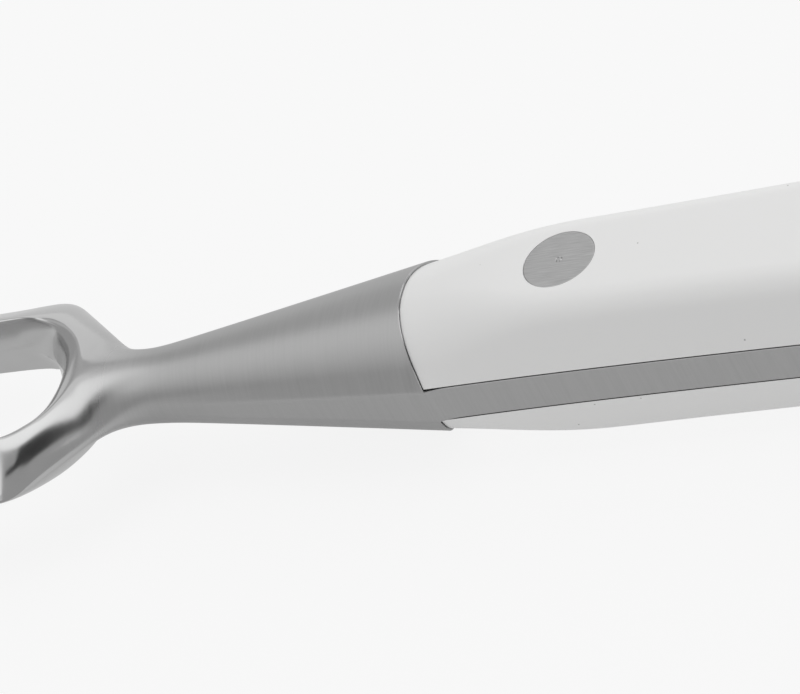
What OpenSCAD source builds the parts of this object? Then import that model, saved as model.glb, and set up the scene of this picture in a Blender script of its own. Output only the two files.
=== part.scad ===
// Carving fork: one forging with two tines, yoke, bolster and full tang,
// two handle scales, and three two-piece rivets whose heads lie flush.
// X runs along the fork to the tips, Y across it, Z is up through the handle's faces.
// The fork lies with the lower handle face on Z = 0 and is centred on X = 0 and Y = 0.

/* [Handle] */
// Length of the handle, from the front edge of the scales to the butt
handle_l = 122; // [115:1:130]
// Thickness over both scales
handle_t = 19.2; // [18.4:0.2:20.4]
// Width where the scales meet the bolster
front_w = 18; // [17:0.5:19]
// Thickness where the scales meet the bolster
front_t = 16.8; // [16:0.2:17.6]
// Greatest width, towards the butt
belly_w = 23.2; // [22:0.2:25]
// Distance of the greatest width from the front edge of the scales
belly_at = 95; // [88:1:98]
// Length over which the faces rise from the bolster to the full thickness
rise_l = 12.5; // [10:0.5:12.5]
// Length over which the round front section turns into the boxier grip section
box_l = 17.5; // [15:0.5:20]
// Radius of the long edges of the grip
edge_r = 3.5; // [3:0.1:3.8]
// How far each side leans in from the tang to the long edge
side_lean = 1.4; // [1:0.1:1.8]
// Length of the rounded end, seen from above
butt_l = 18; // [14:1:22]
// Length of the rounded end, seen from the side
butt_round_l = 9; // [7:1:12]
// How much thinner each scale is at the very end
butt_drop = 3; // [2:0.5:3.5]

/* [Bolster] */
// Length from the front edge of the scales to the neck
bolster_l = 34.2; // [33:0.1:35]
// Diameter of the neck
neck_d = 8.1; // [7:0.1:9]
// Length over which the cone eases into the neck
neck_ease = 1.5; // [1:0.5:4]
// How far the bolster stands proud of the scales, all round
bolster_step = 0.28; // [0.1:0.02:0.4]
// How far the curved front edge of the scales reaches into the bolster
scale_bulge = 2; // [1:0.1:3]

/* [Tang] */
// Thickness of the tang
tang_t = 4.4; // [4:0.1:4.8]

/* [Yoke and tines] */
// Distance of the tine tips from the front edge of the scales
tip_at = 180; // [160:1:200]
// Width over both tines at the yoke
yoke_w = 29.6; // [28:0.2:32]
// Thickness of the tines at the yoke
tine_t = 8; // [7:0.2:8.6]
// Width of the gap between the inner ridges of the tines
gap_w = 17; // [16:0.5:18]
// Width of the gap on the top faces, where the crests of the tines lie
crest_gap_w = 19; // [18:0.5:20]
// Distance of the middle of the rounded gap end from the front edge of the scales
gap_end_at = 53.3; // [52:0.1:56]
// Depth of the rounded gap end at the ridge
ridge_depth = 7.2; // [6:0.1:8.5]
// Depth of the rounded gap end on the top faces
crest_depth = 11.3; // [10:0.1:12]
// Where the line of the 45 degree shoulder meets the line of the neck
shoulder_at = 37.15; // [36.5:0.05:38]
// Radius of the outer corner of the shoulder
shoulder_corner_r = 4.5; // [2:0.5:7]
// Distance between the two tips
tip_spacing = 22; // [20:0.5:24]
// Share of their size that the tines lose evenly between yoke and tip
tine_taper = 0.55; // [0.4:0.05:0.7]
// Bow of the tines' outer faces: 1 is flat, 2 is a half round
crest_roundness = 1.1; // [1.05:0.05:1.4]
// Bow of the inner walls of the gap: 1 is flat, 2 is a half round
wall_roundness = 1.1; // [1.05:0.05:1.4]
// The same in the middle of the gap's end, which is ground with a round wheel
crotch_roundness = 2; // [1.4:0.1:2]
// Share of the gap's end over which that bow fades into the flat walls
crotch_share = 0.7; // [0.4:0.1:1]
// How soon the neck's round top turns into the bow of the tines: 1 is evenly, more is sooner
top_fade = 1; // [0.8:0.1:2]
// The same for the underside
under_fade = 5.5; // [3:0.5:6]
// Share of the root's size that is left at the blunt tip
tip_share = 0.07; // [0.05:0.01:0.12]

/* [Rivets] */
// Diameter of the rivet heads
head_d = 8; // [7:0.5:8]
// Thickness of the rivet heads
head_t = 2.6; // [2:0.2:3]
// Diameter of the hollow rivet half
tube_d = 5; // [4.5:0.1:5.5]
// Diameter of the pin that is driven into the hollow half
pin_d = 3; // [2.5:0.1:3.4]
// Distance of the front rivet from the front edge of the scales
first_rivet_at = 16.7; // [16.5:0.1:20]
// Distance between rivets
rivet_pitch = 36; // [33:1:38]

/* [Fits] */
// Seam between the front of each scale and the bolster
seam = 0.05; // [0.02:0.01:0.1]
// Clearance round the rivets, on the diameter
rivet_fit = 0.05; // [0.02:0.01:0.1]
// Space left beyond the end of a driven pin and of a rivet tube
end_gap = 0.3; // [0.2:0.1:0.5]

/* [Hidden] */

steel = "silver";
rivet_steel = "gainsboro";
scale_white = "white";

half_t = handle_t / 2;
middle_x = (tip_at - handle_l) / 2;
rivet_x = [for (i = [0:2]) -first_rivet_at - i * rivet_pitch];

// Points across a quarter of a section, and rings along each stretch of the skin
columns = 14;
wall_columns = 4;
bolster_rings = 12;
fan_rings = 6;
gap_rings = 14;
tine_rings = 14;
rise_rings = 10;
grip_rings = 14;
butt_rings = 10;

// Triangles, written as three points, clockwise seen from outside
function quad(a, b, c, d) = [[a, b, c], [a, c, d]];
function skin(rings) = [
    for (i = [0:len(rings) - 2], k = [0:len(rings[i]) - 2])
        each quad(rings[i][k], rings[i][k + 1], rings[i + 1][k + 1], rings[i + 1][k])
];
function reversed(tris) = [for (t = tris) [t[0], t[2], t[1]]];
function in_y(p) = [p.x, 0 - p.y, p.z];
function in_z(p) = [p.x, p.y, 0 - p.z];
function both_y(tris) = concat(tris, [for (t = reversed(tris)) [for (p = t) in_y(p)]]);
function turned_over(tris) = [for (t = reversed(tris)) [for (p = t) in_z(p)]];
function is_real(t) = t[0] != t[1] && t[1] != t[2] && t[2] != t[0];

module closed_skin(tris) {
    kept = [for (t = tris) if (is_real(t)) t];
    polyhedron(
        points = [for (t = kept) each t],
        faces = [for (i = [0:len(kept) - 1]) [3 * i, 3 * i + 1, 3 * i + 2]]
    );
}

// Eases from 0 to 1 and stays there
function eased(u) = let (v = min(max(u, 0), 1)) v * v * (3 - 2 * v);
function mixed(a, b, share) = a + (b - a) * share;

// Handle: half width, half thickness and edge radius at a distance b behind the front
function plan_cap(b) =
    b <= handle_l - butt_l ? 1
    : sqrt(max(0, 1 - pow((b - handle_l + butt_l) / butt_l, 2)));
function grip_half_w(b) = mixed(front_w, belly_w, eased(b / belly_at)) / 2;
function grip_half_t(b) =
    b < rise_l ? mixed(half_t, front_t / 2, pow(1 - b / rise_l, 2))
    : b <= handle_l - butt_round_l ? half_t
    : half_t - butt_drop * (1 - sqrt(max(0, 1 - pow((b - handle_l + butt_round_l) / butt_round_l, 2))));
function grip_r(b) = mixed(front_t / 2, edge_r, eased(b / box_l));

// Quarter section of the handle as [y, z] points: the flat face, the rounded long edge,
// and the straight side down to the edge of the tang
function grip_section(b, proud = 0) =
    let (
        w = grip_half_w(b) + proud,
        r = grip_r(b) + proud,
        centre = [w - side_lean * eased(b / box_l) - r, grip_half_t(b) + proud - r],
        foot = [w, tang_t / 2],
        d = foot - centre,
        side_angle = atan2(d.y, d.x) + acos(r / norm(d)),
        arc = [
            for (k = [0:columns - 2])
                let (a = mixed(90, side_angle, k / (columns - 2))) centre + r * [cos(a), sin(a)]
        ]
    )
    [for (p = concat([[0, arc[0].y]], arc, [foot])) [p.x * plan_cap(b), p.y]];

// A front section shrinks to the neck along a cone that eases out
function cone_rise(d) = sqrt(d * d + neck_ease * neck_ease) - neck_ease;
function cone_share(x) = min(1, cone_rise(bolster_l - x) / cone_rise(bolster_l));
function cone_point(section, k, x) =
    let (s = mixed(neck_section[k], section[k], cone_share(x))) [x, s.x, s.y];

// Line where scales and bolster meet: straight at the tang, bulging forward at the middle
function front_x(y) = scale_bulge * (1 - pow(2 * y / front_w, 2));
function front_edge(section, back) = [
    for (k = [0:columns]) cone_point(section, k, front_x(section[k].x)) - [back, 0, 0]
];
function foot_of(edge) = [for (p = edge) [p.x, p.y, tang_t / 2]];

// Outline of yoke and tines: a hollow, a 45 degree shoulder and a corner
root_y = yoke_w / 2;
shoulder_hollow_r = (shoulder_at - bolster_l) / tan(22.5);
hollow_end = [bolster_l, neck_d / 2] + shoulder_hollow_r * [sin(45), 1 - cos(45)];
corner_end_x = hollow_end.x + (root_y - hollow_end.y) + shoulder_corner_r * tan(22.5);
corner_start = [corner_end_x, root_y] - shoulder_corner_r * [sin(45), 1 - cos(45)];
function outline_y(x) =
    x < hollow_end.x ? neck_d / 2 + shoulder_hollow_r
        - sqrt(pow(shoulder_hollow_r, 2) - pow(x - bolster_l, 2))
    : x < corner_start.x ? hollow_end.y + x - hollow_end.x
    : x < corner_end_x ? root_y - shoulder_corner_r
        + sqrt(pow(shoulder_corner_r, 2) - pow(corner_end_x - x, 2))
    : root_y;

// Ends of the gap between the tines, at an angle of 0 in the middle and 90 at the tine
function gap_point(depth, width, a) = [gap_end_at - depth * cos(a), width / 2 * sin(a)];

// Each face runs from the middle line, and from the crest beside the gap, to the outline
fan_share = 0.3;
crest_start_x = gap_end_at - crest_depth;
function outer_x(share) = mixed(bolster_l, gap_end_at, share);
function crest_at(i) =
    i < fan_rings ? [mixed(bolster_l, crest_start_x, i / fan_rings), 0]
    : gap_point(crest_depth, crest_gap_w, 90 * (i - fan_rings) / gap_rings);
function outer_at(i) =
    let (
        share = i < fan_rings ? fan_share * i / fan_rings
            : mixed(fan_share, 1, (i - fan_rings) / gap_rings),
        x = outer_x(share)
    )
    [x, outline_y(x)];
function roundness(i, fade) =
    mixed(crest_roundness, 2, pow(1 - i / (fan_rings + gap_rings), fade));
function face_point(crest, outer, height, e, k) =
    let (
        u = sin(90 * k / columns),
        p = mixed(crest, outer, u)
    )
    [p.x, p.y, height * pow(1 - pow(u, e), 1 / e)];
function face_ring(i, fade) = [
    for (k = [0:columns])
        face_point(crest_at(i), outer_at(i), tine_t / 2 * yoke_height(i), roundness(i, fade), k)
];
function yoke_height(i) = mixed(neck_d / tine_t, 1, eased(i / fan_rings));

// The wall of the gap falls from the crest to a ridge at mid height
function wall_point(ridge, crest, height, e, j) =
    let (
        u = 1 - sin(90 * j / wall_columns),
        p = mixed(crest, ridge, u)
    )
    [p.x, p.y, height * pow(1 - pow(u, e), 1 / e)];
function wall_ring(i) =
    let (
        share = (i - fan_rings) / gap_rings,
        bow = mixed(crotch_roundness, wall_roundness, eased(share / crotch_share))
    )
    [
        for (j = [0:wall_columns])
            wall_point(
                gap_point(ridge_depth, gap_w, 90 * share),
                gap_point(crest_depth, crest_gap_w, 90 * share),
                tine_t / 2,
                bow,
                j
            )
    ];

scale_section = grip_section(0);
bolster_section = grip_section(0, bolster_step);
neck_section = [for (p = face_ring(0, top_fade)) [p.y, p.z]];

// Tines: the same section, shrinking about a line that runs to the tip
tine_l = tip_at - gap_end_at;
tip_bluntness = 8;
tine_ring_spread = 0.8;
function tine_size(q) =
    1 - tine_taper * q - (1 - tine_taper - tip_share) * pow(q, tip_bluntness);
function tine_q(i) = pow(i / tine_rings, tine_ring_spread);
function tine_place(y, q) = [
    gap_end_at + tine_l * q,
    mixed(tip_spacing / 2, y, tine_size(q))
];
function tine_face(i) =
    let (q = tine_q(i))
    [
        for (k = [0:columns])
            face_point(
                tine_place(crest_gap_w / 2, q),
                tine_place(root_y, q),
                tine_t / 2 * tine_size(q),
                crest_roundness,
                k
            )
    ];
function tine_wall(i) =
    let (q = tine_q(i))
    [
        for (j = [0:wall_columns])
            wall_point(
                tine_place(gap_w / 2, q),
                tine_place(crest_gap_w / 2, q),
                tine_t / 2 * tine_size(q),
                wall_roundness,
                j
            )
    ];

// Rings of the handle from the butt to the front, by their distance behind the front
straight_end = handle_l - butt_l;
grip_stations = concat(
    [for (i = [butt_rings:-1:1]) straight_end + butt_l * sin(90 * i / butt_rings)],
    [for (i = [grip_rings:-1:1]) mixed(box_l, straight_end, i / grip_rings)],
    [for (i = [rise_rings:-1:1]) box_l * i / rise_rings]
);

// Flat face of the tang, and the same outline under a scale, seen from above
function tang_plate(foot) =
    let (
        rings = [
            for (b = grip_stations)
                let (w = grip_half_w(b) * plan_cap(b)) [[-b, 0, tang_t / 2], [-b, w, tang_t / 2]]
        ],
        last = rings[len(rings) - 1]
    )
    concat(
        skin(rings),
        [[last[0], last[1], foot[columns]]],
        [for (k = [0:columns - 1]) [last[0], foot[k + 1], foot[k]]]
    );

module in_place() {
    translate([-middle_x, 0, half_t]) children();
}

// Skin of the forging over one face, on one side of the middle line
function forging_quarter(fade) =
    let (
        seat = foot_of(bolster[0]),
        yoke = [for (i = [1:fan_rings + gap_rings]) face_ring(i, fade)],
        walls = [for (i = [fan_rings:fan_rings + gap_rings]) wall_ring(i)]
    )
    concat(
        tang_plate(seat),
        skin(concat([seat], bolster, yoke, tine_faces)),
        skin(concat(walls, tine_walls))
    );

// Strips over the edge of the tang and the foot of the bolster, and over the blunt tip
function forging_side() =
    let (
        tip = concat(tine_walls[tine_rings - 1], tine_faces[tine_rings - 1]),
        tang_edge = [
            for (b = grip_stations)
                let (p = [-b, grip_half_w(b) * plan_cap(b), tang_t / 2]) [p, in_z(p)]
        ],
        bolster_edge = [for (ring = bolster) [ring[columns], in_z(ring[columns])]]
    )
    concat(skin(concat(tang_edge, bolster_edge)), skin([tip, [for (p = tip) in_z(p)]]));

bolster = [
    for (i = [0:bolster_rings])
        [
            for (k = [0:columns])
                let (x = mixed(front_x(bolster_section[k].x), bolster_l, sin(90 * i / bolster_rings)))
                    cone_point(bolster_section, k, x)
        ]
];
tine_faces = [for (i = [1:tine_rings]) tine_face(i)];
tine_walls = [for (i = [1:tine_rings]) tine_wall(i)];

module forging() {
    closed_skin(both_y(concat(
        forging_quarter(top_fade),
        turned_over(forging_quarter(under_fade)),
        forging_side()
    )));
}

module scale_body() {
    rings = [
        for (b = grip_stations)
            [for (s = grip_section(b)) [-b, s.x, s.y]]
    ];
    front = front_edge(scale_section, seam);
    half = concat(
        skin(concat(rings, [front, foot_of(front)])),
        reversed(tang_plate(foot_of(front)))
    );
    closed_skin(both_y(half));
}

module rivet_holes(d, from, to) {
    for (x = rivet_x)
        translate([x, 0, from]) cylinder(d = d + rivet_fit, h = to - from, $fn = 64);
}

module forged_fork() {
    color(steel) in_place() difference() {
        forging();
        rivet_holes(tube_d, -tang_t, tang_t);
    }
}

module handle_scale() {
    difference() {
        scale_body();
        rivet_holes(tube_d, 0, half_t);
        rivet_holes(head_d, half_t - head_t, half_t + 1);
    }
}

module handle_scale_top() {
    color(scale_white) in_place() handle_scale();
}

module handle_scale_bottom() {
    color(scale_white) in_place() rotate([180, 0, 0]) handle_scale();
}

module rivet_socket(i) {
    tube_end = end_gap - half_t + head_t;
    color(rivet_steel) in_place() translate([rivet_x[i], 0, 0]) difference() {
        union() {
            translate([0, 0, half_t - head_t]) cylinder(d = head_d, h = head_t, $fn = 64);
            translate([0, 0, tube_end]) cylinder(d = tube_d, h = half_t - head_t / 2 - tube_end, $fn = 64);
        }
        translate([0, 0, tube_end - 1])
            cylinder(d = pin_d + rivet_fit, h = half_t - head_t - tube_end + 1, $fn = 48);
    }
}

module rivet_pin(i) {
    pin_end = half_t - head_t - end_gap;
    color(rivet_steel) in_place() translate([rivet_x[i], 0, -half_t]) union() {
        cylinder(d = head_d, h = head_t, $fn = 64);
        translate([0, 0, head_t / 2]) cylinder(d = pin_d, h = half_t + pin_end - head_t / 2, $fn = 48);
    }
}

forged_fork();
handle_scale_top();
handle_scale_bottom();
rivet_socket(0);  // rivet_socket_front
rivet_socket(1);  // rivet_socket_middle
rivet_socket(2);  // rivet_socket_rear
rivet_pin(0);  // rivet_pin_front
rivet_pin(1);  // rivet_pin_middle
rivet_pin(2);  // rivet_pin_rear
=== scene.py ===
# %% [markdown]
# # A carving fork with riveted handle scales
#
# The real object is one steel forging with two white scales laid on its tang, and three
# rivets that hold them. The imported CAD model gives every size. This lesson dresses it:
# smooth meshes made of the same sections as the solids, procedural steel and resin, and
# a plain studio. The frame is loaded first, because every piece goes where it says.

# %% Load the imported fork
import math

import bmesh
import bpy
import numpy as np
from mathutils import Matrix, Vector


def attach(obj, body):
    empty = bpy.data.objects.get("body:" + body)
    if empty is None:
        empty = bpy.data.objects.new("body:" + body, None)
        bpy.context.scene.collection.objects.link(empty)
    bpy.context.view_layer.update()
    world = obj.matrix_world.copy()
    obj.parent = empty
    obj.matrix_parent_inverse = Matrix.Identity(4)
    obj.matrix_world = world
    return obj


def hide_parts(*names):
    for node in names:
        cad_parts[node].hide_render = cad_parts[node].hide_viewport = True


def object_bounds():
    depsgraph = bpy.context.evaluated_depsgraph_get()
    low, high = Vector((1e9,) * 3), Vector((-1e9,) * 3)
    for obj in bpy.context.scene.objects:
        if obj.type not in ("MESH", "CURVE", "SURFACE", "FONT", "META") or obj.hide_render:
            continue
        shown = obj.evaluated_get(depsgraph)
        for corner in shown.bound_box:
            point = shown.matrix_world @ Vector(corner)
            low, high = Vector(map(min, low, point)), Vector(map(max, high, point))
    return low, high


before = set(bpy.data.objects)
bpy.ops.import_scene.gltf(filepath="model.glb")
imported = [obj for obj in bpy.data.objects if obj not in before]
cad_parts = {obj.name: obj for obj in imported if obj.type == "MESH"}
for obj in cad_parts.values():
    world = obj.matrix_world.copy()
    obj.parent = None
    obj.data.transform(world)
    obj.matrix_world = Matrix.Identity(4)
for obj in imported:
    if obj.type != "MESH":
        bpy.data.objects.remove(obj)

cad_low, cad_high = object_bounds()
print("CAD box, mm:", [round((b - a) * 1000, 1) for a, b in zip(cad_low, cad_high)])

# %% [markdown]
# ## Where the fork's own middle lies
#
# A fork is easiest to draw about its own axis: X from the joint of handle and bolster to
# the tips, Y across, and Z = 0 in the middle of the tang. Such a drawing is in
# millimetres, and it could be moved into the frame point by point. Here each object
# carries the move instead, so that its mesh and its materials keep the maker's axes.

# %% The maker's axes
MM = 0.001
HANDLE_L = 122.0
HALF_T = 19.2 / 2
TIP_AT = 180.0

JOINT_X = cad_high.x - TIP_AT * MM
MAKERS_ORIGIN = Vector((JOINT_X, 0, HALF_T * MM))
print("joint at x =", round(JOINT_X * 1000, 2), "mm, middle at z =", HALF_T, "mm")


# %% [markdown]
# ## Small helpers for sections
#
# Both the grip and the yoke are drawn as rings of points, one ring after another along
# the fork. Their curves could be splines with handles to drag. Two helpers are enough
# for all of them here: one that eases from 0 to 1, and one that mixes two sizes.

# %% Easing and mixing
def eased(u):
    v = min(max(u, 0.0), 1.0)
    return v * v * (3 - 2 * v)


def mixed(a, b, share):
    return a + (b - a) * share


print("halfway eased:", eased(0.5))

# %% [markdown]
# ## The camera
#
# The photograph looks down on the near side of the handle from a long way off, and it is
# rolled, so that the fork climbs to the right. Such a view can be set by eye. Here the
# directions were solved from the seams, the rivet and the outline, which gives them to a
# pixel. The long lens keeps the edges as parallel as they are in the photograph.

# %% Camera
PHOTO_W, SENSOR_W = 800, 36.0
VIEW_RIGHT = Vector((-0.8951, -0.2175, -0.3893))
VIEW_UP = Vector((-0.1275, -0.7117, 0.6908))
VIEW_BACK = Vector((-0.4273, 0.6679, 0.6093))
CAMERA_OUT, CAMERA_RIGHT, CAMERA_UP = 1139.28, -5.1443, -0.3087
FOCAL_PIXELS = 10936.8

camera_data = bpy.data.cameras.new("photo_camera")
camera_data.sensor_width = SENSOR_W
camera_data.lens = SENSOR_W * FOCAL_PIXELS / PHOTO_W
camera_data.clip_start, camera_data.clip_end = 0.05, 50.0
camera = bpy.data.objects.new("photo_camera", camera_data)
camera_at = CAMERA_OUT * VIEW_BACK + CAMERA_RIGHT * VIEW_RIGHT + CAMERA_UP * VIEW_UP
axes = Matrix((VIEW_RIGHT, VIEW_UP, VIEW_BACK)).transposed().to_4x4()
camera.matrix_world = Matrix.Translation(MAKERS_ORIGIN + camera_at * MM) @ axes
bpy.context.scene.collection.objects.link(camera)
bpy.context.scene.camera = camera
print("lens:", round(camera_data.lens), "mm")

# %% [markdown]
# ## A loft of rings
#
# A forging or a shaped scale is a skin over rings. It could be pulled out of a block by
# hand with loop cuts. A loft in code has the same quads, and it follows the drawing
# exactly. Points of neighbouring lofts that meet are merged afterwards, which also turns
# quads with a lost side into triangles. Edges that the maker leaves sharp get a crease, so
# that the subdivision keeps them. A crease can also fade along its line.


# %% Lofting helper
MERGE_AT, NO_LENGTH = 1e-6, 1e-7


class Skin:
    """Collects lofts of rings, then makes one merged mesh of them."""

    def __init__(self):
        self.mesh = bmesh.new()
        self.crease = self.mesh.edges.layers.float.new("crease_edge")

    def loft(self, rings, flip=False, creases=()):
        """A crease is a line, such as ("column", 3), and one sharpness or one for each edge."""
        rows = [[self.mesh.verts.new(Vector(p) * MM) for p in ring] for ring in rings]
        for row, following in zip(rows, rows[1:]):
            for k in range(len(row) - 1):
                corners = [row[k], row[k + 1], following[k + 1], following[k]]
                self.mesh.faces.new(corners if flip else corners[::-1])
        for line, sharpness in creases:
            column = rows[line[1]] if line[0] == "ring" else [row[line[1]] for row in rows]
            levels = sharpness if isinstance(sharpness, list) else [sharpness] * len(column)
            for a, b, level in zip(column, column[1:], levels):
                self.mesh.edges.get((a, b))[self.crease] = level

    def made(self, name):
        bmesh.ops.remove_doubles(self.mesh, verts=self.mesh.verts, dist=MERGE_AT)
        bmesh.ops.dissolve_degenerate(self.mesh, edges=self.mesh.edges, dist=NO_LENGTH)
        return as_data(name, self.mesh)


def as_data(name, mesh):
    """Turns a working mesh into one that an object can hold."""
    data = bpy.data.meshes.new(name)
    mesh.to_mesh(data)
    mesh.free()
    return data


print("points closer than", MERGE_AT / MM, "mm are merged")

# %% [markdown]
# ## From a half to a finished piece
#
# The forging and the scales are even left and right, so only one half of each is lofted.
# The other half could be lofted too, but a mirror modifier can't get it wrong. A
# subdivision then rounds what the belt would round. The modifiers are applied at the end,
# so that each piece holds its finished mesh.


# %% Placing, mirroring and settling
def placed(name, data, at=MAKERS_ORIGIN):
    piece = bpy.data.objects.new(name, data)
    piece.location = at
    bpy.context.scene.collection.objects.link(piece)
    return piece


def mirror_and_round(piece, levels):
    mirror = piece.modifiers.new("left_and_right", "MIRROR")
    mirror.use_axis = (False, True, False)
    mirror.merge_threshold = MERGE_AT
    rounding = piece.modifiers.new("rounding", "SUBSURF")
    rounding.levels = rounding.render_levels = levels


def settled(piece, sharp_degrees=35):
    """Applies the modifiers, and shades smooth up to an angle."""
    bpy.context.view_layer.update()
    evaluated = piece.evaluated_get(bpy.context.evaluated_depsgraph_get())
    data = bpy.data.meshes.new_from_object(evaluated)
    piece.modifiers.clear()
    piece.data = data
    data.shade_smooth()
    data.set_sharp_from_angle(angle=math.radians(sharp_degrees))
    return piece


def rides_for(piece, cad_node):
    """The piece is fixed to the root body and stands in for one node of the CAD model."""
    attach(piece, "root")
    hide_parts(cad_node)
    print(piece.name, "is for", cad_node, "with", len(piece.data.polygons), "faces")


# %% [markdown]
# ## The handle's section
#
# The handle starts round, where it leaves the bolster, and turns into a box with rounded
# long edges and sides that lean in. One function gives the quarter section at any
# distance behind the joint. It could be a set of drawn templates, as a maker would file
# to, but a function can be sampled as finely as a curve needs. `BROKEN` is how far the
# maker breaks the tang's sharp edge.

# %% Handle sizes and section
FRONT_W, FRONT_T = 18.0, 16.8
BELLY_W, BELLY_AT = 23.2, 95.0
RISE_L, BOX_L = 12.5, 17.5
EDGE_R, SIDE_LEAN = 3.5, 1.4
BUTT_L, BUTT_ROUND_L, BUTT_DROP = 18.0, 9.0, 3.0
TANG_HALF = 4.4 / 2
BROKEN = 0.08
COLUMNS = 14


def round_end(b, length):
    """1 along the handle, and down to 0 along an ellipse at the butt."""
    past = b - HANDLE_L + length
    return 1.0 if past <= 0 else math.sqrt(max(0.0, 1 - (past / length) ** 2))


def grip_half_w(b):
    return mixed(FRONT_W, BELLY_W, eased(b / BELLY_AT)) / 2


def grip_half_t(b):
    if b < RISE_L:
        return mixed(HALF_T, FRONT_T / 2, (1 - b / RISE_L) ** 2)
    return HALF_T - BUTT_DROP * (1 - round_end(b, BUTT_ROUND_L))


def grip_section(b, shy=0.0):
    """[y, z] from mid face, round the long edge, to the tang's edge, drawn in by shy."""
    w = grip_half_w(b) - shy
    half_t = grip_half_t(b) - shy
    r = mixed(FRONT_T / 2, EDGE_R, eased(b / BOX_L)) - shy
    cy, cz = w - SIDE_LEAN * eased(b / BOX_L) - r, half_t - r
    dy, dz = w - cy, TANG_HALF - cz
    side = math.atan2(dz, dy) + math.acos(r / math.hypot(dy, dz))
    arc = []
    for k in range(COLUMNS - 1):
        a = mixed(math.pi / 2, side, k / (COLUMNS - 2))
        arc.append((cy + r * math.cos(a), cz + r * math.sin(a)))
    cap = round_end(b, BUTT_L)
    return [(y * cap, z) for y, z in [(0.0, arc[0][1])] + arc + [(w, TANG_HALF)]]


def tang_edge(w):
    """Down over the tang's broken edge to its middle."""
    return [(w, TANG_HALF - BROKEN), (w, 0.0)]


print("section at the belly:", [round(c, 2) for c in grip_section(BELLY_AT)[-1]])

# %% [markdown]
# ## The bolster and the seam line
#
# The bolster is a cone that shrinks from the handle's front section to the round neck
# and eases out there. The front edge of each scale is not straight: it bulges into the
# bolster in the middle of the face. Both pieces take that line from one function, so the
# seam stays even. The bolster stands a little proud of the scales, as a hand-finished one
# does, which is why its front section is a touch larger.

# %% Bolster sizes and sections
BOLSTER_L, NECK_R, NECK_EASE = 34.2, 4.05, 1.5
SCALE_BULGE = 2.0
front_section = grip_section(0.0)


def seam_x(y):
    return SCALE_BULGE * (1 - (2 * y / FRONT_W) ** 2)


def cone_rise(d):
    return math.hypot(d, NECK_EASE) - NECK_EASE


def cone_share(x):
    """1 at the scales and 0 at the neck: how much of the front section is left at x."""
    return min(1.0, cone_rise(BOLSTER_L - x) / cone_rise(BOLSTER_L))


print("halfway along the bolster:", round(cone_share(BOLSTER_L / 2), 2), "of the cone is left")

# %% [markdown]
# ## The yoke's outline and the gap
#
# Seen from above, the neck runs through a hollow into a shoulder at 45 degrees, round a
# corner, and along the tine. The gap ends in a half oval. It has a ridge at mid height
# and a crest on each face, and both are ovals about the same middle. The top face is
# lofted between the crest and the outline. A flat sheet cut to the outline would miss
# what makes the yoke look forged: its faces fall away from the gap on every side.

# %% Yoke sizes and outline
ROOT_Y, TINE_HALF = 14.8, 4.0
GAP_W, CREST_GAP_W, GAP_END_AT = 17.0, 19.0, 53.3
RIDGE_DEPTH, CREST_DEPTH = 7.2, 11.3
SHOULDER_AT, CORNER_R = 37.15, 4.5
EIGHTH = math.pi / 4
TAN_HALF = math.tan(EIGHTH / 2)

hollow_r = (SHOULDER_AT - BOLSTER_L) / TAN_HALF
hollow_end_x = BOLSTER_L + hollow_r * math.sin(EIGHTH)
hollow_end_y = NECK_R + hollow_r * (1 - math.cos(EIGHTH))
corner_end_x = hollow_end_x + ROOT_Y - hollow_end_y + CORNER_R * TAN_HALF
corner_start_x = corner_end_x - CORNER_R * math.sin(EIGHTH)


def outline_y(x):
    if x < hollow_end_x:
        return NECK_R + hollow_r - math.sqrt(hollow_r**2 - (x - BOLSTER_L) ** 2)
    if x < corner_start_x:
        return hollow_end_y + x - hollow_end_x
    if x < corner_end_x:
        return ROOT_Y - CORNER_R + math.sqrt(CORNER_R**2 - (corner_end_x - x) ** 2)
    return ROOT_Y


def gap_point(depth, width, angle):
    return (GAP_END_AT - depth * math.cos(angle), width / 2 * math.sin(angle))


print("shoulder from x =", round(hollow_end_x, 1), "to", round(corner_start_x, 1), "mm")

# %% [markdown]
# ## Rings over the yoke
#
# Each ring over a face starts at the crest of the gap and ends at the outline. Over the
# neck the rings fan out from one line, and then they turn round the gap's end, so the
# quads run the way the metal flowed in the die. The face bows from crest to outline by a
# power curve: a power of 2 is round, as the neck is, and a power near 1 is almost flat,
# as the tines are. How fast one gives way to the other is a value of its own for each
# face. Sculpting could give such a form too, but not the same one twice.

# %% Rings over the yoke
FAN_RINGS, GAP_RINGS, WALL_COLUMNS = 6, 14, 4
FACE_COLUMNS = COLUMNS + 2
FAN_SHARE = 0.3
CREST_ROUND, NECK_ROUND, WALL_ROUND, CROTCH_ROUND = 1.1, 2.0, 1.1, 2.0
CROTCH_SHARE = 0.7
ABOVE, BELOW = 1, -1
FADE = {ABOVE: 1.0, BELOW: 5.5}


def bowed(u, power):
    """Height over a face that is 1 at the crest, where u is 0, and 0 at its far edge."""
    return max(0.0, 1 - u**power) ** (1 / power)


def face_ring(crest, outer, height, power):
    """From the crest of the gap over the face to the outline."""
    ring = []
    for k in range(FACE_COLUMNS + 1):
        u = math.sin(math.pi / 2 * k / FACE_COLUMNS)
        ring.append((mixed(crest[0], outer[0], u), mixed(crest[1], outer[1], u),
                     height * bowed(u, power)))
    return ring


def wall_ring(ridge, crest, height, power):
    """From the ridge at mid height up the gap's wall to the crest."""
    ring = []
    for j in range(WALL_COLUMNS + 1):
        u = 1 - math.sin(math.pi / 2 * j / WALL_COLUMNS)
        ring.append((mixed(crest[0], ridge[0], u), mixed(crest[1], ridge[1], u),
                     height * bowed(u, power)))
    return ring


def gap_angle(i):
    return math.pi / 2 * (i - FAN_RINGS) / GAP_RINGS


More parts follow.
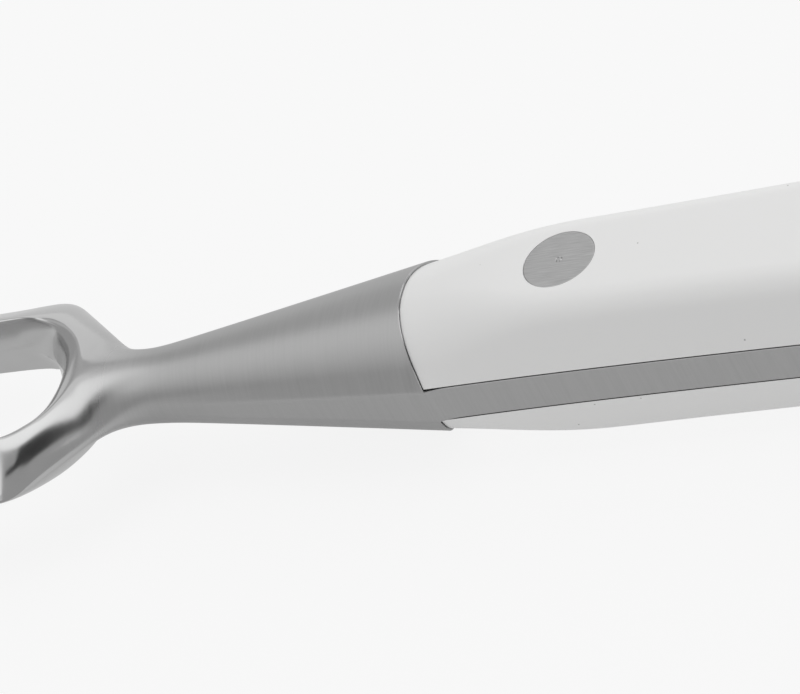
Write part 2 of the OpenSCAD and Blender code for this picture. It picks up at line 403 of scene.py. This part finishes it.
def yoke_ring(i, side):
    """Ring over one face: a fan over the neck first, then round the gap's end."""
    if i < FAN_RINGS:
        crest = (mixed(BOLSTER_L, GAP_END_AT - CREST_DEPTH, i / FAN_RINGS), 0.0)
        share = FAN_SHARE * i / FAN_RINGS
    else:
        crest = gap_point(CREST_DEPTH, CREST_GAP_W, gap_angle(i))
        share = mixed(FAN_SHARE, 1, (i - FAN_RINGS) / GAP_RINGS)
    x = mixed(BOLSTER_L, GAP_END_AT, share)
    softness = (1 - i / (FAN_RINGS + GAP_RINGS)) ** FADE[side]
    height = mixed(NECK_R, TINE_HALF, eased(i / FAN_RINGS))
    return face_ring(crest, (x, outline_y(x)), height, mixed(CREST_ROUND, NECK_ROUND, softness))


def gap_wall_ring(i):
    a = gap_angle(i)
    bow = mixed(CROTCH_ROUND, WALL_ROUND, eased((i - FAN_RINGS) / GAP_RINGS / CROTCH_SHARE))
    return wall_ring(gap_point(RIDGE_DEPTH, GAP_W, a), gap_point(CREST_DEPTH, CREST_GAP_W, a),
                     TINE_HALF, bow)


print("rings over each half of the yoke:", FAN_RINGS + GAP_RINGS)

# %% [markdown]
# ## The tines
#
# Each tine keeps the yoke's section and shrinks towards a line that ends at the tip, so
# the tines stay slender and close in a little. A taper modifier could do that to a
# straight bar. Writing the taper as one number along the tine also lets the very end
# round off into a blunt point: `POINT_POWER` says how late that starts.

# %% Rings along a tine
TINE_RINGS, TINE_SPREAD = 14, 0.8
TIP_SPACING, TINE_TAPER, TIP_SHARE, POINT_POWER = 22.0, 0.55, 0.07, 8


def tine_size(q):
    """The section's size at a share q of the tine's length, where 1 is its size at the root."""
    return 1 - TINE_TAPER * q - (1 - TINE_TAPER - TIP_SHARE) * q**POINT_POWER


def tine_place(y, q):
    return (mixed(GAP_END_AT, TIP_AT, q), mixed(TIP_SPACING / 2, y, tine_size(q)))


tine_qs = [(i / TINE_RINGS) ** TINE_SPREAD for i in range(1, TINE_RINGS + 1)]
tine_walls, tine_faces = [], []
for q in tine_qs:
    size = tine_size(q)
    crest = tine_place(CREST_GAP_W / 2, q)
    tine_walls.append(wall_ring(tine_place(GAP_W / 2, q), crest, TINE_HALF * size, WALL_ROUND))
    tine_faces.append(face_ring(crest, tine_place(ROOT_Y, q), TINE_HALF * size, CREST_ROUND))
root_w = ROOT_Y - GAP_W / 2
print("tine, mm wide:", round(root_w, 2), "at the root,", round(root_w * TIP_SHARE, 2), "at the tip")

# %% [markdown]
# ## Where the handle's rings stand
#
# The tang and the scales share one list of distances behind the joint. The rings could be
# evenly spaced, but they are only needed where the section changes: close together round
# the butt and where the handle rises from the bolster, and wide apart in between.

# %% Stations along the handle
BUTT_RINGS, GRIP_RINGS, RISE_RINGS = 10, 14, 10
STRAIGHT_END = HANDLE_L - BUTT_L
stations = [STRAIGHT_END + BUTT_L * math.sin(math.pi / 2 * i / BUTT_RINGS)
            for i in range(BUTT_RINGS, 0, -1)]
stations += [mixed(BOX_L, STRAIGHT_END, i / GRIP_RINGS) for i in range(GRIP_RINGS, 0, -1)]
stations += [BOX_L * i / RISE_RINGS for i in range(RISE_RINGS, 0, -1)]
print(len(stations), "rings from the butt to the joint")

# %% [markdown]
# ## Rings of the bolster and the tang
#
# The bolster's hollow end is the seat of the scales. It stands proud of them by a little,
# and its rim lies just behind and inside the seam line, so that the steel's edge is
# broken there. A bevel could break it too, but the rim ring keeps the width even round
# the curve. The tang is flat on both faces and as wide as the scales, so its edge shows
# as a band round the whole handle.

# %% Bolster and tang
PROUD, BOLSTER_RINGS = 0.28, 12


def bolster_ring(ease_out, shy=0.0):
    """From the seam line, at 0, to the neck, at 1."""
    ring = []
    front = grip_section(0.0, shy - PROUD)
    for k, (fy, fz) in enumerate(front + tang_edge(FRONT_W / 2 + PROUD)):
        x = mixed(seam_x(fy), BOLSTER_L, ease_out)
        share = cone_share(x)
        _, ny, nz = neck_ring[k]
        ring.append((x, mixed(ny, fy, share), mixed(nz, fz, share)))
    return ring


neck_ring = yoke_ring(0, ABOVE)
bolster = [bolster_ring(math.sin(math.pi / 2 * i / BOLSTER_RINGS))
           for i in range(BOLSTER_RINGS + 1)]
rim = [(x - BROKEN, y, z) for x, y, z in bolster_ring(0.0, BROKEN)]
tang = []
for b in stations:
    cap = round_end(b, BUTT_L)
    w = grip_half_w(b)
    across = [y * 2 * (w - BROKEN) / FRONT_W for y, z in front_section]
    ring = [(-b, y * cap, TANG_HALF) for y in across]
    tang.append(ring + [(-b, y * cap, z) for y, z in tang_edge(w)])
foot = [(x, y, TANG_HALF) for x, y, z in rim[:COLUMNS + 1]] + rim[COLUMNS + 1:]
print("bolster:", len(bolster), "rings, tang:", len(tang), "rings")

# %% [markdown]
# ## The forging as one skin
#
# The real fork is one drop forging, so it is one mesh here as well: the tang, the seat of
# the scales, the bolster, the yoke and one tine, above and below. It could be joined from
# separate bars with booleans, but then the flow from neck to tine would have a seam.
# Creases keep the tang, the seat and the tines' crests crisp. The crest fades from round
# in the crotch, where a polishing wheel reaches it, to crisp along the tines.

# %% Half of the forging
RIDGE_CREASE = 0.6
CREST_SHARPENS = (34.0, 56.0)
tip_middle = (TIP_AT, TIP_SPACING / 2, 0.0)
tip_ring = tine_walls[-1] + tine_faces[-1][1:]


def turned_over(rings, side):
    return [[(x, y, z * side) for x, y, z in ring] for ring in rings]


def crest_sharpness(i):
    """0 where the wheel rounds the crest of the crotch, and 1 where the crest stays crisp."""
    start, end = CREST_SHARPENS
    return eased((math.degrees(gap_angle(i)) - start) / (end - start))


crest_creases = [0.0] * (1 + len(bolster))
crest_creases += [crest_sharpness(i) for i in range(1, FAN_RINGS + GAP_RINGS + 1)]
crest_creases += [1.0] * len(tine_faces)
forging = Skin()
for side in (ABOVE, BELOW):
    under = side == BELOW
    yoke = [yoke_ring(i, side) for i in range(1, FAN_RINGS + GAP_RINGS + 1)]
    walls = [gap_wall_ring(i) for i in range(FAN_RINGS, FAN_RINGS + GAP_RINGS + 1)]
    forging.loft(turned_over(tang + [foot], side), under,
                 [(("column", COLUMNS), 1.0), (("column", COLUMNS + 1), 1.0), (("ring", -1), 1.0)])
    forging.loft(turned_over([foot[:COLUMNS + 1], rim[:COLUMNS + 1]], side), under,
                 [(("ring", -1), 1.0)])
    forging.loft(turned_over([rim] + bolster + yoke + tine_faces, side), under,
                 [(("ring", 1), 1.0), (("column", 0), crest_creases)])
    forging.loft(turned_over(walls + tine_walls, side), under, [(("column", 0), RIDGE_CREASE)])
    forging.loft(turned_over([tip_ring, [tip_middle] * len(tip_ring)], side), not under)

fork_forging = placed("fork_forging", forging.made("fork_forging"))
print("half of the forging:", len(fork_forging.data.polygons), "faces")

# %% [markdown]
# ## Where the wheel wears the steel
#
# A polishing wheel rounds the crest of the crotch and blends the bolster into the yoke.
# A bevel could round the crest, but only by one width, and it would leave two new edges.
# Here a vertex group says how near a point lies to the crest or to the neck, and a smooth
# modifier works only there. Its reach is wide in the crotch and narrow along the tines.
# `x`, `y` and `z` are millimetres, and the last number of a crest point is the reach.

# %% Worn crest and neck
CROTCH_REACH, TINE_REACH = 1.2, 0.1
NECK_WORN_AT, NECK_REACH = 35.5, 8.0
CROTCH_POINTS, TINE_POINTS = 60, 200
WEAR, WEAR_PASSES = 0.5, 200
crest_line = [(*gap_point(CREST_DEPTH, CREST_GAP_W, gap_angle(i)), TINE_HALF,
               mixed(CROTCH_REACH, TINE_REACH, crest_sharpness(i)))
              for i in np.linspace(FAN_RINGS, FAN_RINGS + GAP_RINGS, CROTCH_POINTS)]
crest_line += [(*tine_place(CREST_GAP_W / 2, q), TINE_HALF * tine_size(q),
                TINE_REACH * tine_size(q)) for q in np.linspace(0, 1, TINE_POINTS)]
crest_line = np.array(crest_line)
worn = fork_forging.vertex_groups.new(name="worn")
worn_points = 0
for vertex in fork_forging.data.vertices:
    x, y, z = vertex.co / MM
    away = np.linalg.norm(crest_line[:, :3] - (x, y, abs(z)), axis=1) / crest_line[:, 3]
    wear = max(1 - away.min(), eased(1 - abs(x - NECK_WORN_AT) / NECK_REACH))
    if wear > 0:
        worn.add([vertex.index], wear, "REPLACE")
        worn_points += 1
mirror_and_round(fork_forging, 2)
wheel = fork_forging.modifiers.new("worn", "SMOOTH")
wheel.vertex_group = "worn"
wheel.factor, wheel.iterations = WEAR, WEAR_PASSES
print("worn points:", worn_points, "of", len(fork_forging.data.vertices))

# %% [markdown]
# ## Rivet holes
#
# Each rivet passes through both scales and the tang, and its heads sink into the faces.
# The holes could be built into the lofts, but then every ring would have to bend round
# them. A boolean cut with plain cylinders is what the drill does, and the faces are flat
# there, so the cut leaves no dents in the shading.

# %% Drill
HEAD_R, HEAD_T, TUBE_R, PIN_R = 4.0, 2.6, 2.5, 1.5
RIVET_FIT = 0.05
RIVET_XS = {"front": -16.7, "middle": -52.7, "rear": -88.7}
CLEAR_AWAY = 1.0
ROUND_STEPS = 96


def drill(name, radius, z_from, z_to):
    """One object with a cylinder at each rivet, to cut with."""
    cutter = bmesh.new()
    for x in RIVET_XS.values():
        middle = Matrix.Translation(Vector((x, 0, (z_from + z_to) / 2)) * MM)
        bmesh.ops.create_cone(cutter, cap_ends=True, segments=ROUND_STEPS, radius1=radius * MM,
                              radius2=radius * MM, depth=(z_to - z_from) * MM, matrix=middle)
    return placed(name, as_data(name, cutter))


def cut(piece, cutter):
    boolean = piece.modifiers.new("drilled", "BOOLEAN")
    boolean.operation = "DIFFERENCE"
    boolean.solver = "EXACT"
    boolean.object = cutter


face_z = HALF_T + CLEAR_AWAY
through = drill("through_drill", TUBE_R + RIVET_FIT / 2, -face_z, face_z)
cut(fork_forging, through)
settled(fork_forging)
rides_for(fork_forging, "forged_fork")

# %% [markdown]
# ## The two scales
#
# A scale is half of the handle, sawn flat, with its front end shaped to the seat in the
# bolster. It is lofted as a right half and mirrored. Its rim is rounded off where it meets
# the bolster, and the seam opens a little towards the tang. Along the tang runs a narrow
# groove, where the glue has shrunk back. The groove's shade gives the seam a dark line
# from every side, and the resin below adds painted shade in the groove's corner.

# %% Half of a scale
SEAM, SEAM_OPENS = 0.05, 0.14
RIM, RIM_STEPS = 0.16, 3
GLUE_DEPTH = 0.4
GROOVE_GAPS = {ABOVE: 0.22, BELOW: 0.06}


def glued_foot(ring, gap):
    """The same ring, with a groove along its lower edge where the glue has shrunk back."""
    x, y, z = ring[-1]
    inner = max(0.0, y - GLUE_DEPTH)
    return ring[:-1] + [(x, y, z + gap), (x, inner, z + gap), (x, inner, z)]


def scale_front(back, shy):
    """The scale's edge along the seam, a distance behind it and a little lower."""
    ring = []
    for k, (y, z) in enumerate(grip_section(0.0, shy)):
        x = seam_x(y) - SEAM - SEAM_OPENS * eased(1 - z / grip_half_t(0.0)) - back
        share = cone_share(x)
        _, ny, nz = neck_ring[k]
        ring.append((x, mixed(ny, y, share), mixed(nz, z, share)))
    return ring


rim_turns = [math.pi / 2 * i / RIM_STEPS for i in range(RIM_STEPS + 1)]
rim_steps = [(RIM * (1 - math.sin(a)), RIM * (1 - math.cos(a))) for a in rim_turns]


def scale_half(name, gap):
    rings = [glued_foot([(-b, y, z) for y, z in grip_section(b)], gap) for b in stations]
    rings += [glued_foot(scale_front(back, shy), gap) for back, shy in rim_steps]
    seat = [[(x, min(y, ring[-1][1]), TANG_HALF) for x, y, z in ring[:-3]] + ring[-1:]
            for ring in rings]
    skin = Skin()
    skin.loft(rings, creases=[(("column", COLUMNS + k), 1.0) for k in range(3)])
    skin.loft([rings[-1], seat[-1] + seat[-1][-1:] * 2],
              creases=[(("ring", 0), 1.0), (("ring", 1), 1.0)])
    skin.loft(seat, flip=True)
    return skin.made(name)


print("the seam opens from", SEAM, "to", SEAM + SEAM_OPENS, "mm")

# %% [markdown]
# ## A pair of drilled scales
#
# The two scales are a pair. The lower one could be drawn on its own, but it is made as
# the upper one is and then turned over. Only its glue groove is narrower. Besides the
# through holes for the rivets' tubes, each face gets wider pockets for their heads.

# %% Drilled scales
pocket = drill("pocket_drill", HEAD_R + RIVET_FIT / 2, HALF_T - HEAD_T, face_z)


def scale(name, cad_node, side):
    piece = placed(name, scale_half(name, GROOVE_GAPS[side]))
    mirror_and_round(piece, 1)
    cut(piece, through)
    cut(piece, pocket)
    settled(piece)
    if side == BELOW:
        piece.data.transform(Matrix.Rotation(math.pi, 4, "X"))
    rides_for(piece, cad_node)
    return piece


scale_top = scale("scale_top", "handle_scale_top", ABOVE)
scale_bottom = scale("scale_bottom", "handle_scale_bottom", BELOW)
for cutter in (through, pocket):
    bpy.data.objects.remove(cutter)

# %% [markdown]
# ## The rivets
#
# A cutler's rivet comes in two halves: a tube with a head, and a pin with a head that is
# driven into it. Both are turned parts. A cylinder with bevels could stand in for each,
# but one profile that is spun about its axis has the true steps inside too. The heads are
# ground flush with the faces, their rims are broken, and the lathe leaves a small ring
# in the middle.

# %% Rivet profiles
END_GAP = 0.3
PIP_R, PIP_DEPTH = 0.32, 0.08
PIP_INNER, PIP_OUTER, PIP_EDGE = 0.7, 1.3, 1.6
ROUND = 0.08
RIM_FLAT, RIM_TURN = 1.6, 0.3
pip_points = [(PIP_R * PIP_INNER, HALF_T), (PIP_R, HALF_T - PIP_DEPTH),
              (PIP_R * PIP_OUTER, HALF_T), (PIP_R * PIP_EDGE, HALF_T)]
rim_points = [(HEAD_R - ROUND * RIM_FLAT, HALF_T), (HEAD_R - ROUND, HALF_T),
              (HEAD_R - ROUND * RIM_TURN, HALF_T - ROUND * RIM_TURN), (HEAD_R, HALF_T - ROUND)]
under_head = HALF_T - HEAD_T
head_face = [(0, HALF_T)] + pip_points + rim_points + [(HEAD_R, under_head)]
tube_end = END_GAP - under_head
bore_r = PIN_R + RIVET_FIT / 2
socket_profile = head_face + [(TUBE_R, under_head), (TUBE_R, tube_end), (bore_r, tube_end),
                              (bore_r, under_head), (0, under_head)]
pin_profile = head_face + [(PIN_R, under_head), (PIN_R, tube_end), (0, tube_end)]
print("profile points:", len(socket_profile), "and", len(pin_profile))


# %% Turned rivets
def turned(name, profile):
    """A closed profile of (radius, height), spun about Z."""
    lathe = bmesh.new()
    turns = [2 * math.pi * s / ROUND_STEPS for s in range(ROUND_STEPS)]
    rings = [[lathe.verts.new(Vector((r * math.cos(a), r * math.sin(a), z)) * MM)
              for r, z in profile] for a in turns]
    for row, following in zip(rings, rings[1:] + rings[:1]):
        for k in range(len(profile) - 1):
            lathe.faces.new((row[k], following[k], following[k + 1], row[k + 1]))
    bmesh.ops.remove_doubles(lathe, verts=lathe.verts, dist=NO_LENGTH)
    bmesh.ops.recalc_face_normals(lathe, faces=lathe.faces)
    return as_data(name, lathe)


rivets = []
for place, x in RIVET_XS.items():
    for kind, profile, turn in (("socket", socket_profile, 0.0), ("pin", pin_profile, math.pi)):
        rivet_at = MAKERS_ORIGIN + Vector((x * MM, 0, 0))
        rivet = placed(f"{place}_rivet_{kind}", turned(f"{place}_{kind}", profile), rivet_at)
        rivet.data.transform(Matrix.Rotation(turn, 4, "X"))
        settled(rivet)
        rides_for(rivet, f"rivet_{kind}_{place}")
        rivets.append(rivet)
print("rivet halves:", len(rivets))


# %% [markdown]
# ## Writing materials as nodes
#
# A finish is a small graph of nodes. It can be clicked together in the shader editor.
# Written in code it can be read line by line, and a few helpers keep each finish short.
# In `node`, a socket goes by its name, or by its number after an i where two sockets
# share a name. A value is set on the socket, and an output is linked to it.


# %% Starting a finish and adding a node
def new_finish(name):
    material = bpy.data.materials.new(name)
    material.use_nodes = True
    return material, material.node_tree, material.node_tree.nodes["Principled BSDF"]


def node(tree, kind, settings=None, **inputs):
    made = tree.nodes.new(kind)
    for key, value in (settings or {}).items():
        setattr(made, key, value)
    for key, value in inputs.items():
        numbered = key[0] == "i" and key[1:].isdigit()
        socket = made.inputs[int(key[1:]) if numbered else key.replace("_", " ")]
        if isinstance(value, bpy.types.NodeSocket):
            tree.links.new(value, socket)
        else:
            socket.default_value = value
    return made


def grey(level):
    return (level, level, level, 1.0)


def given(piece, material):
    piece.data.materials.clear()
    piece.data.materials.append(material)


print("mid grey:", grey(0.5))

# %% [markdown]
# ## Patterns that follow the piece
#
# Brushed lines and specks belong to the piece, so they are placed by its own coordinates,
# in metres along the maker's axes. They could be painted on an unwrapped image, but a
# pattern in the material needs no seams and stays sharp close up. Most values of a noise
# lie between 0.3 and 0.7, so `spread` turns just that part into the wanted range.

# %% Patterns and masks
NOISE_LOW, NOISE_HIGH = 0.3, 0.7


def makers_axes(tree):
    return node(tree, "ShaderNodeTexCoord").outputs["Object"]


def along(tree, fineness):
    """The maker's axes, stretched: a large number gives fine detail along that axis."""
    return node(tree, "ShaderNodeMapping", Vector=makers_axes(tree), Scale=fineness).outputs[0]


def noise(tree, fineness, detail):
    return node(tree, "ShaderNodeTexNoise", Vector=along(tree, fineness), Scale=1.0,
                Detail=detail).outputs["Fac"]


def ranged(tree, value, low, high, to_low, to_high, curve="SMOOTHSTEP"):
    settings = {"interpolation_type": curve}
    return node(tree, "ShaderNodeMapRange", settings, i0=value, i1=low, i2=high, i3=to_low,
                i4=to_high).outputs[0]


def spread(tree, pattern, to_low, to_high):
    return ranged(tree, pattern, NOISE_LOW, NOISE_HIGH, to_low, to_high, "LINEAR")


def maths(tree, operation, a, b):
    return node(tree, "ShaderNodeMath", {"operation": operation}, i0=a, i1=b).outputs[0]


def blend(tree, share, a, b):
    """The number a where the share is 0, and b where it is 1."""
    return node(tree, "ShaderNodeMix", {"data_type": "FLOAT"}, i0=share, i2=a, i3=b).outputs[0]


def blend_colours(tree, share, a, b):
    return node(tree, "ShaderNodeMix", {"data_type": "RGBA"}, i0=share, i6=a, i7=b).outputs[2]


def bumped(tree, shader, height, strength, depth):
    bump = node(tree, "ShaderNodeBump", Strength=strength, Distance=depth, Height=height)
    tree.links.new(bump.outputs[0], shader.inputs["Normal"])


def metal(tree, shader, tone, roughness):
    shader.inputs["Metallic"].default_value = 1.0
    tree.links.new(tone, shader.inputs["Base Color"])
    tree.links.new(roughness, shader.inputs["Roughness"])


print("noise is read from", NOISE_LOW, "to", NOISE_HIGH)

# %% [markdown]
# ## Steel: satin on the bolster, polished on the yoke
#
# The forging has two finishes. The bolster and the edge of the tang were run across a
# belt, which leaves fine lines across the fork. The yoke and the tines were buffed until
# they mirror the room. The two could be separate materials on separate faces, but the
# real change is gradual: a mask along the fork blends them over the neck. The lines come
# from noise that is stretched across the fork, and they fade out where the polish begins.

# %% Forged steel
SATIN_TONE, SATIN_ROUGH = (0.4416, 0.4784), (0.34, 0.42)
POLISHED_TONE, POLISHED_ROUGH = (0.582, 0.612), (0.12, 0.18)
POLISH_FROM, POLISH_TO = 33 * MM, 46 * MM
LINES_FROM, LINES_TO, LINES_LEFT = 24 * MM, 34 * MM, 0.04
FINE_LINES, BROAD_LINES, FINE_SHARE = (4200, 160, 160), (1500, 90, 90), 0.6
BUFFING = (160, 160, 160)
LINE_STRENGTH, LINE_DEPTH = 0.25, 0.02 * MM

steel, tree, shader = new_finish("forged_steel")
x = node(tree, "ShaderNodeSeparateXYZ", Vector=makers_axes(tree)).outputs["X"]
polish = ranged(tree, x, POLISH_FROM, POLISH_TO, 0.0, 1.0)
brushed = ranged(tree, x, LINES_FROM, LINES_TO, 1.0, LINES_LEFT)
streak = blend(tree, FINE_SHARE, noise(tree, BROAD_LINES, detail=2.0),
               noise(tree, FINE_LINES, detail=1.0))
cloud = noise(tree, BUFFING, detail=3.0)
tone = blend(tree, polish, spread(tree, streak, *SATIN_TONE),
             spread(tree, cloud, *POLISHED_TONE))
roughness = blend(tree, polish, spread(tree, streak, *SATIN_ROUGH),
                  spread(tree, cloud, *POLISHED_ROUGH))
metal(tree, shader, tone, roughness)
bumped(tree, shader, maths(tree, "MULTIPLY", streak, brushed), LINE_STRENGTH, LINE_DEPTH)
given(fork_forging, steel)
print("forged steel:", len(tree.nodes), "nodes")

# %% [markdown]
# ## White resin
#
# The scales are moulded in a hard white resin and rubbed smooth. A flat white would look
# like paper, so the finish has a soft gloss, a slight unevenness left by the rubbing, and
# a few tiny specks of dust in the resin. The corner of each groove along the tang is
# painted dark, as painted shade where little light gets in. It could be left to the
# groove's own shade, but a mask by height colours it.

# %% Scale resin
# The third colour is painted shade, for the dark corner of the groove along the tang.
WHITE, SPECK, GROOVE_SHADE = (0.90, 0.90, 0.895, 1.0), (0.45, 0.45, 0.44, 1.0), (0.10, 0.10, 0.095, 1.0)
RESIN_ROUGH = (0.30, 0.38)
WAVES, GRAIN, GRAIN_SHARE = (60, 110, 110), (900, 2400, 2400), 0.02
DUST, SPECK_R, SPECK_EDGE = (260, 260, 260), 0.018, 0.035
WAVE_STRENGTH, WAVE_DEPTH = 0.12, 0.2 * MM
GROOVE_MARGIN = 0.005

resin, tree, shader = new_finish("handle_resin")
grain = noise(tree, GRAIN, detail=2.0)
waves = noise(tree, WAVES, detail=2.0)
dots = node(tree, "ShaderNodeTexVoronoi", Vector=along(tree, DUST), Scale=1.0).outputs["Distance"]
speck = ranged(tree, dots, SPECK_R, SPECK_EDGE, 1.0, 0.0)
dusty = blend_colours(tree, speck, WHITE, SPECK)
z = node(tree, "ShaderNodeSeparateXYZ", Vector=makers_axes(tree)).outputs["Z"]
groove_top = (TANG_HALF + GROOVE_GAPS[ABOVE] + GROOVE_MARGIN) * MM
groove_bottom = -(TANG_HALF + GROOVE_GAPS[BELOW] + GROOVE_MARGIN) * MM
# Painted shade: in the groove's corner, between these heights, the resin is coloured dark.
groove_shade = maths(tree, "MULTIPLY", maths(tree, "LESS_THAN", z, groove_top),
               maths(tree, "GREATER_THAN", z, groove_bottom))
tree.links.new(blend_colours(tree, groove_shade, dusty, GROOVE_SHADE), shader.inputs["Base Color"])
tree.links.new(spread(tree, grain, *RESIN_ROUGH), shader.inputs["Roughness"])
uneven = maths(tree, "ADD", waves, maths(tree, "MULTIPLY", grain, GRAIN_SHARE))
bumped(tree, shader, uneven, WAVE_STRENGTH, WAVE_DEPTH)
for piece in (scale_top, scale_bottom):
    given(piece, resin)
print("handle resin:", len(tree.nodes), "nodes")

# %% [markdown]
# ## Rivet faces
#
# The heads were ground together with the handle, along it, so their fine lines run the
# long way. The forging's steel could be used again, but its lines run across, and its
# grey changes along the fork.

# %% Rivet steel
RIVET_TONE, RIVET_ROUGH = (0.43, 0.55), (0.36, 0.44)
GROUND_LINES = (420, 7000, 420)

rivet_finish, tree, shader = new_finish("rivet_steel")
lines = noise(tree, GROUND_LINES, detail=3.0)
metal(tree, shader, spread(tree, lines, *RIVET_TONE), spread(tree, lines, *RIVET_ROUGH))
bumped(tree, shader, lines, LINE_STRENGTH, LINE_DEPTH)
for rivet in rivets:
    given(rivet, rivet_finish)
print("rivet steel:", len(tree.nodes), "nodes on", len(rivets), "rivet halves")

# %% [markdown]
# ## Pale ground
#
# The photograph has a pale, even ground. A floor can be made that even by flooding it
# with light, but then the white scales would burn out. Here its material adds the
# brightness: rays from the camera meet a white glow that is mixed with the real surface,
# so the fork keeps its soft shadow. Steel and resin send rays on to the ground as well.
# They meet a share of that glow, so that the steel mirrors a pale room, but not a white
# one. The world uses the same helper.


# %% Who sees the glow
MIRRORED_SHARE, LIT_SHARE = 0.38, 0.46


def seen_share(tree, lit_share):
    """1 for rays from the camera, and a share for those that steel or resin sends on."""
    path = node(tree, "ShaderNodeLightPath").outputs
    mirrored = maths(tree, "MAXIMUM", path["Is Glossy Ray"], path["Is Transmission Ray"])
    bounced = maths(tree, "MAXIMUM", maths(tree, "MULTIPLY", mirrored, MIRRORED_SHARE),
                    maths(tree, "MULTIPLY", path["Is Diffuse Ray"], lit_share))
    return maths(tree, "MAXIMUM", path["Is Camera Ray"], bounced)


print("steel meets", MIRRORED_SHARE, "of the glow, and resin", LIT_SHARE)

# %% Pale floor
FLOOR_R, FLOOR_SIDES = 4.0, 64
FLOOR_TONE, FLOOR_ROUGH, GLOW_SHARE = 0.68, 0.9, 0.86

floor_mesh = bmesh.new()
bmesh.ops.create_circle(floor_mesh, cap_ends=True, segments=FLOOR_SIDES, radius=FLOOR_R)
floor = placed("floor", as_data("floor", floor_mesh), Vector((0, 0, 0)))
floor_finish, tree, shader = new_finish("pale_floor")
shader.inputs["Base Color"].default_value = grey(FLOOR_TONE)
shader.inputs["Roughness"].default_value = FLOOR_ROUGH
shader.inputs["Specular IOR Level"].default_value = 0.0
glow = node(tree, "ShaderNodeEmission", Color=grey(1.0), Strength=1.0)
glow_share = maths(tree, "MULTIPLY", seen_share(tree, LIT_SHARE), GLOW_SHARE)
surface = node(tree, "ShaderNodeMixShader", i0=glow_share, i1=shader.outputs[0],
               i2=glow.outputs[0])
tree.links.new(surface.outputs[0], tree.nodes["Material Output"].inputs["Surface"])
given(floor, floor_finish)
print("floor:", 2 * FLOOR_R, "m across")

# %% [markdown]
# ## The room
#
# Steel shows what it faces, so the studio is a room for the fork to mirror. An image of a
# studio could be wrapped round the scene, but a plain room and a few panels can be read
# and moved. The world is the room's walls. They give little light of their own, and the
# camera sees them pale.

# %% World
ROOM, PALE = 0.124, 0.93
world = bpy.data.worlds.new("studio")
bpy.context.scene.world = world
world.use_nodes = True
tree = world.node_tree
tree.nodes.clear()
room = node(tree, "ShaderNodeBackground", Color=grey(ROOM), Strength=1.0)
pale = node(tree, "ShaderNodeBackground", Color=grey(PALE), Strength=1.0)
walls = node(tree, "ShaderNodeMixShader", i0=seen_share(tree, MIRRORED_SHARE),
             i1=room.outputs[0], i2=pale.outputs[0])
node(tree, "ShaderNodeOutputWorld", Surface=walls.outputs[0])
print("the walls give", ROOM, "and look", PALE)

# %% [markdown]
# ## Lamps
#
# The bright parts of the photograph's steel say where its lamps hung: each one mirrors a
# place on a ceiling one metre up, or on the far wall. Spot lamps would leave hard dots in
# the polished yoke, so every lamp here is a wide, soft panel, and two or more of them can
# overlap where the photograph is brighter. A panel's power is its brightness times its
# area times pi, so panels of any size can be compared by brightness alone.

# %% Soft panels
YOKE_AT = MAKERS_ORIGIN + Vector((0.05, 0, 0))
DOWN, SIDEWAYS = (0, 0, 0), (math.pi / 2, 0, 0)


def panel(name, middle, size, faces, brightness):
    """A rectangular lamp with its middle in metres from the yoke."""
    lamp = bpy.data.lights.new(name, "AREA")
    lamp.shape = "RECTANGLE"
    lamp.size, lamp.size_y = size
    lamp.energy = brightness * math.pi * size[0] * size[1]
    placed(name, lamp, YOKE_AT + Vector(middle)).rotation_euler = faces


panel("bright_strip", (-0.19, -0.115, 1.0), (2.22, 0.49), DOWN, 0.84)
panel("front_strip", (0.63, 0.59, 1.0), (0.56, 0.92), DOWN, 0.78)
panel("corner_panel", (0.80, -0.78, 1.0), (0.40, 0.84), DOWN, 0.16)
panel("ceiling_panel", (-0.70, -0.70, 1.0), (2.60, 0.68), DOWN, 0.45)
panel("tip_panel", (1.46, 1.10, 1.0), (2.28, 2.20), DOWN, 0.29)
panel("butt_panel", (-2.22, -0.56, 1.0), (1.56, 2.88), DOWN, 2.0)
panel("back_panel", (-0.80, -2.0, 1.0), (3.60, 2.00), SIDEWAYS, 0.42)
panel("low_panel", (1.60, -2.0, 0.60), (1.20, 1.20), SIDEWAYS, 0.34)
print("lamps:", len(bpy.data.lights))

# %% [markdown]
# ## The dark card
#
# A dark band runs along the near arm of the yoke. It isn't dirt: it is the dark gap
# between the lamps. It could be painted into the steel, but then it would stay where it
# is when the fork is turned. A dark card under the ceiling, out of the camera's sight,
# gives the same band, and its corners give the band's outline, in metres from the yoke.

# %% Dark card
CARD_CORNERS = [(-0.86, 0.135), (0.04, 0.135), (-0.03, 0.34), (0.22, 0.38), (0.20, 0.47),
                (-0.20, 0.46), (-0.60, 0.585), (-0.86, 0.585)]
CARD_AT, CARD_TONE = 0.9, 0.03
card_data = bpy.data.meshes.new("dark_card")
card_data.from_pydata([(x, y, 0.0) for x, y in CARD_CORNERS], [], [range(len(CARD_CORNERS))])
card = placed("dark_card", card_data, YOKE_AT + Vector((0, 0, CARD_AT)))
card.visible_camera = False
card_finish, tree, shader = new_finish("dark_card")
shader.inputs["Base Color"].default_value = grey(CARD_TONE)
given(card, card_finish)
print("the card hangs", CARD_AT, "m over the yoke")

# %% [markdown]
# ## Look
#
# Colours are shown as they are written. A filmic curve could soften the bright steel, but
# it would also turn the white scales grey.

# %% Look
bpy.context.scene.view_settings.view_transform = "Standard"
print("view:", bpy.context.scene.view_settings.view_transform)
